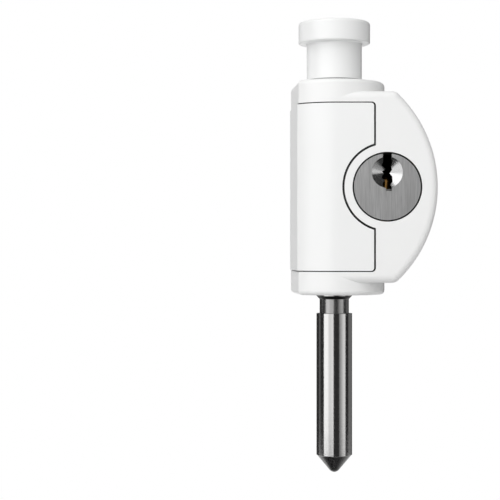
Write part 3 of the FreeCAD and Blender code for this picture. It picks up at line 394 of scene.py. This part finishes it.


# Each piece with its material's name, colour, roughness, then the grain in cells per metre
# and its depth, or the pitch of the lathe marks, and the mask of any painted shade
finishes = {
    "housing": white_coat("white_coat", WHITE, 0.33, 2200, 0.0015 * MM, cover_gap_shade),
    "screw_cover": white_coat("cover_plastic", PLASTIC_WHITE, 0.3, 1500, 0.0008 * MM,
                              cover_edge_shade),
    "pull_knob": white_coat("knob_plastic", PLASTIC_WHITE, 0.3, 1500, 0.0008 * MM, knob_foot),
    "bolt": turned_metal("bolt_steel", STEEL, 0.13, 0.25 * MM, shaded=bolt_cuts),
    "cylinder_shell": brushed_metal("satin_nickel", SATIN_NICKEL, 0.42, (7000, 7000, 240),
                                    0.004 * MM, slot_shade),
    "key_plug": turned_metal("bright_nickel", BRIGHT_NICKEL, 0.15, 0.2 * MM, along=None,
                             centre=PLUG_AXIS, shaded=keyway_shade),
    "key_pins": turned_metal("pin_brass", PIN_BRASS, 0.3, 0.2 * MM),
    "driver_pins": turned_metal("driver_brass", BRASS, 0.3, 0.2 * MM),
    "knob_insert": turned_metal("insert_brass", BRASS, 0.32, 0.3 * MM),
    "chamber_cover": brushed_metal("strip_brass", BRASS, 0.36, (4000, 200, 4000), 0.004 * MM),
    "driver_springs": brushed_metal("spring_wire", STEEL, 0.3, (3000, 3000, 3000), 0.003 * MM),
    "back_plate": brushed_metal("zinc_sheet", ZINC, 0.4, (2600, 2600, 160), 0.006 * MM),
    "cylinder_end_plate": brushed_metal("zinc_disc", ZINC, 0.4, (2600, 2600, 160), 0.006 * MM),
    "latch": brushed_metal("zinc_latch", ZINC, 0.38, (200, 2600, 2600), 0.006 * MM),
    "tail_cam": brushed_metal("zinc_cam", ZINC, 0.38, (2600, 2600, 300), 0.006 * MM),
    "back_plate_screws": turned_metal("plate_screw_steel", ZINC, 0.34, 0.3 * MM, along=Y),
    "cylinder_screw": turned_metal("screw_steel", ZINC, 0.34, 0.3 * MM, along=Y),
    "stop_screw": turned_metal("stop_screw_steel", ZINC, 0.34, 0.3 * MM, along=Y),
    "top_bush": plain_soft("top_bush_plastic", ACETAL, 0.5, 2400, 0.01 * MM),
    "bottom_bush": plain_soft("bottom_bush_plastic", ACETAL, 0.5, 2400, 0.01 * MM),
    "friction_ring": plain_soft("ring_rubber", RUBBER, 0.6, 3000, 0.01 * MM),
}

for node_name, material in finishes.items():
    piece = nodes[node_name]
    piece.data.materials.clear()
    piece.data.materials.append(material)


# Studio

FLOOR_Z = -0.19
BACKDROP_Y = 0.7
STAGE_HALF = 1.6
SWEEP_RADIUS = 0.3
SWEEP_STEPS = 12
PAPER = ((0.6, 0.6, 0.6), (0.62, 0.62, 0.62))
PAPER_CELLS = 40

# Strength of the light from all round: from straight below and from straight above
AMBIENT = (0.35, 0.58)
# What metal mirrors of the room: this tone in front of the lock and white behind it, with
# the fade between them along Y for the floor and, by direction, for the world
ROOM_TONE = 0.04
FLOOR_FADE = (-0.2, 0.05)
WORLD_FADE = (-0.1, 0.2)
# How much of the floor shows as plain white: at least a share, and all of it far behind
FLOOR_WHITE = 0.8
WHITE_FADE = (-0.6, 0.5)

# Cards round the lock and under the bolt's point; a step is in degrees
SCREEN_RADIUS = 0.5
FAN_RADIUS = 0.18
FAN_Z = -0.17
CARD_STEP = 6
LOW, LEVEL, MIDDLE, HIGH, TOP = -0.165, -0.03, 0.0, 0.06, 0.6

# Upright cards as first bearing, last bearing, lower edge, upper edge and tone
SCREENS = (
    (-168, -118, LOW, TOP, 0.03), (-118, -104, LOW, TOP, 0.18), (-104, -73, LOW, TOP, 0.03),
    (-73, -44, LOW, MIDDLE, 1.75), (-73, -44, MIDDLE, HIGH, 1.0), (-73, -44, HIGH, TOP, 1.9),
    (-44, -38, LOW, MIDDLE, 1.5), (-38, -20, LOW, MIDDLE, 1.2), (-20, -8, LOW, MIDDLE, 1.35),
    (-44, -8, MIDDLE, HIGH, 1.0), (-44, -8, HIGH, TOP, 1.9),
    (-8, 29, 0.03, 0.15, 0.8),
    (29, 36, LOW, LEVEL, 0.35), (36, 43, LOW, LEVEL, 0.55), (43, 50, LOW, LEVEL, 0.75),
    (50, 57, LOW, LEVEL, 0.95), (57, 73, LOW, LEVEL, 1.15),
    (29, 73, LEVEL, HIGH, 0.95), (29, 73, HIGH, TOP, 0.05),
    (73, 100, LOW, TOP, 0.03), (100, 145, LOW, TOP, 0.22), (145, 168, LOW, TOP, 0.03),
)
# Cards under the bolt's point as first bearing, last bearing and tone
FANS = (
    (-200, -154, 0.1), (-154, -138, 0.8), (-138, -129, 0.2), (-129, 104, 0.008),
    (104, 118, 0.1), (118, 130, 0.25), (130, 160, 0.45),
)
# Lamps as name, bearing, elevation, distance, width and height, radiance, and whether metal
# mirrors them; cards stand in for those that it doesn't
LAMPS = (
    ("key_light", -30, 24, 0.9, (1.02, 1.15), 1.33, False),
    ("fill_light", 14, 0, 0.9, (0.8, 0.8), 0.75, False),
    ("top_light", -10, 64, 0.9, (0.7, 0.6), 1.3, True),
    ("side_light", -135, 8, 0.6, (0.5, 0.9), 2.0, True),
)
LAMP_AIM = (0, AXIS_Y, -0.01)

CAMERA_LENS = 102.8
SENSOR_WIDTH = 36
CAMERA_PLACE = (-0.0236, -0.411, -0.0171)


def make_mesh(name, points, faces, smooth=False):
    """A mesh object from its points and faces."""
    mesh = bpy.data.meshes.new(name)
    mesh.from_pydata(points, [], faces)
    mesh.update()
    for polygon in mesh.polygons:
        polygon.use_smooth = smooth
    thing = bpy.data.objects.new(name, mesh)
    bpy.context.scene.collection.objects.link(thing)
    return thing


def make_backdrop():
    """A floor that sweeps up into a backdrop behind the lock. The camera sees it nearly
    white, with the lock's shadow; metal mirrors it white behind the lock and dark before it."""
    profile = [(-STAGE_HALF, FLOOR_Z), (BACKDROP_Y - SWEEP_RADIUS, FLOOR_Z)]
    for step in range(1, SWEEP_STEPS + 1):
        turn = math.radians(90 * step / SWEEP_STEPS)
        profile.append((BACKDROP_Y - SWEEP_RADIUS + SWEEP_RADIUS * math.sin(turn),
                        FLOOR_Z + SWEEP_RADIUS * (1 - math.cos(turn))))
    profile.append((BACKDROP_Y, STAGE_HALF))
    points, faces = [], []
    for y, z in profile:
        points += [(-STAGE_HALF, y, z), (STAGE_HALF, y, z)]
    for row in range(len(profile) - 1):
        low = 2 * row
        faces.append((low, low + 1, low + 3, low + 2))
    sweep = make_mesh("backdrop", points, faces, smooth=True)
    graph = Graph("backdrop_paper")
    graph.colours(graph.spread(graph.noise(PAPER_CELLS, 3), 0, 1), *PAPER)
    graph.set({"Roughness": 0.9})
    rays = graph.add("ShaderNodeLightPath").outputs
    mirrored = graph.highest(rays["Is Glossy Ray"], rays["Is Transmission Ray"])
    room = graph.spread(behind(graph, *FLOOR_FADE), ROOM_TONE, 1.0, 0.0, 1.0)
    glow = graph.add("ShaderNodeEmission")
    graph.link(graph.highest(rays["Is Camera Ray"], room), glow.inputs["Strength"])
    white = graph.highest(behind(graph, *WHITE_FADE), FLOOR_WHITE)
    share = graph.highest(graph.product(rays["Is Camera Ray"], white), mirrored)
    mix = graph.add("ShaderNodeMixShader")
    graph.link(share, mix.inputs["Fac"])
    graph.link(graph.shader.outputs["BSDF"], mix.inputs[1])
    graph.link(glow.outputs["Emission"], mix.inputs[2])
    graph.link(mix.outputs["Shader"], graph.output.inputs["Surface"])
    sweep.data.materials.append(graph.material)


def make_flag(name, points, faces, tone):
    """A card of an even tone, seen only in the lock's reflections."""
    flag = make_mesh(name, points, faces)
    graph = Graph(name)
    graph.set({"Base Color": (0, 0, 0, 1), "Specular IOR Level": 0.0, "Emission Strength": 1.0,
               "Emission Color": (tone, tone, tone, 1)})
    flag.data.materials.append(graph.material)
    flag.visible_camera = False
    flag.visible_diffuse = False
    flag.visible_transmission = False
    flag.visible_shadow = False


def round_points(start, end, radius, height):
    """Points of an arc about the bolt's axis; 0 degrees faces the camera, + is the key side."""
    steps = max(2, math.ceil((end - start) / CARD_STEP))
    angles = [math.radians(start + (end - start) * step / steps) for step in range(steps + 1)]
    return [(radius * math.sin(a), AXIS_Y - radius * math.cos(a), height) for a in angles]


def make_screen(name, start, end, low_z, high_z, tone):
    """An upright curved card round the lock, between two bearings in degrees."""
    low = round_points(start, end, SCREEN_RADIUS, low_z)
    high = round_points(start, end, SCREEN_RADIUS, high_z)
    count = len(low)
    faces = [(i, i + 1, count + i + 1, count + i) for i in range(count - 1)]
    make_flag(name, low + high, faces, tone)


def make_fan(name, start, end, tone):
    """A flat sector under the bolt's point, between two bearings in degrees."""
    rim = round_points(start, end, FAN_RADIUS, FAN_Z)
    faces = [(0, i + 2, i + 1) for i in range(len(rim) - 1)]
    make_flag(name, [(0, AXIS_Y, FAN_Z)] + rim, faces, tone)


def make_lamp(name, azimuth, elevation, distance, size, radiance, mirrored):
    """A soft box of a given width, height and radiance, facing the lock."""
    width, height = size
    lamp = bpy.data.lights.new(name, "AREA")
    lamp.shape = "RECTANGLE"
    lamp.size, lamp.size_y = width, height
    lamp.energy = radiance * math.pi * width * height
    box = bpy.data.objects.new(name, lamp)
    a, e = math.radians(azimuth), math.radians(elevation)
    outward = Vector((math.sin(a) * math.cos(e), -math.cos(a) * math.cos(e), math.sin(e)))
    box.location = Vector(LAMP_AIM) + outward * distance
    box.rotation_euler = outward.to_track_quat("Z", "Y").to_euler()
    box.visible_glossy = mirrored
    bpy.context.scene.collection.objects.link(box)


def make_world():
    """Soft light from all round; seen directly it is white, and in a reflection white behind
    the lock and dark in front of it, as in a studio with a white backdrop."""
    world = bpy.data.worlds.new("studio")
    bpy.context.scene.world = world
    world.use_nodes = True
    tree = world.node_tree
    tree.nodes.clear()
    output = tree.nodes.new("ShaderNodeOutputWorld")
    background = tree.nodes.new("ShaderNodeBackground")
    rays = tree.nodes.new("ShaderNodeLightPath").outputs
    split = tree.nodes.new("ShaderNodeSeparateXYZ")
    tree.links.new(tree.nodes.new("ShaderNodeTexCoord").outputs["Generated"],
                   split.inputs["Vector"])

    def mapped(source, from_low, from_high, low, high):
        """Maps a value to a range whose ends are numbers or sockets."""
        node = tree.nodes.new("ShaderNodeMapRange")
        for key, number in (("From Min", from_low), ("From Max", from_high)):
            node.inputs[key].default_value = number
        for key, item in (("To Min", low), ("To Max", high)):
            if isinstance(item, float):
                node.inputs[key].default_value = item
            else:
                tree.links.new(item, node.inputs[key])
        tree.links.new(source, node.inputs["Value"])
        return node.outputs["Result"]

    ambient = mapped(split.outputs["Z"], -1, 1, *AMBIENT)
    room = mapped(split.outputs["Y"], *WORLD_FADE, ROOM_TONE, 1.0)
    mirrored = tree.nodes.new("ShaderNodeMath")
    mirrored.operation = "MAXIMUM"
    tree.links.new(rays["Is Glossy Ray"], mirrored.inputs[0])
    tree.links.new(rays["Is Transmission Ray"], mirrored.inputs[1])
    strength = mapped(mirrored.outputs["Value"], 0, 1, ambient, room)
    strength = mapped(rays["Is Camera Ray"], 0, 1, strength, 1.0)
    tree.links.new(strength, background.inputs["Strength"])
    tree.links.new(background.outputs["Background"], output.inputs["Surface"])


def make_camera():
    """The camera, level and at the photograph's angle."""
    camera_data = bpy.data.cameras.new("camera")
    camera_data.lens = CAMERA_LENS
    camera_data.sensor_width = SENSOR_WIDTH
    camera = bpy.data.objects.new("camera", camera_data)
    camera.location = CAMERA_PLACE
    camera.rotation_euler = (math.radians(90), 0, 0)
    bpy.context.scene.collection.objects.link(camera)
    bpy.context.scene.camera = camera


make_world()
make_backdrop()
for lamp_settings in LAMPS:
    make_lamp(*lamp_settings)
for number, screen in enumerate(SCREENS):
    make_screen("screen_%d" % number, *screen)
for number, fan in enumerate(FANS):
    make_fan("fan_%d" % number, *fan)
make_camera()
bpy.context.scene.view_settings.view_transform = "Standard"
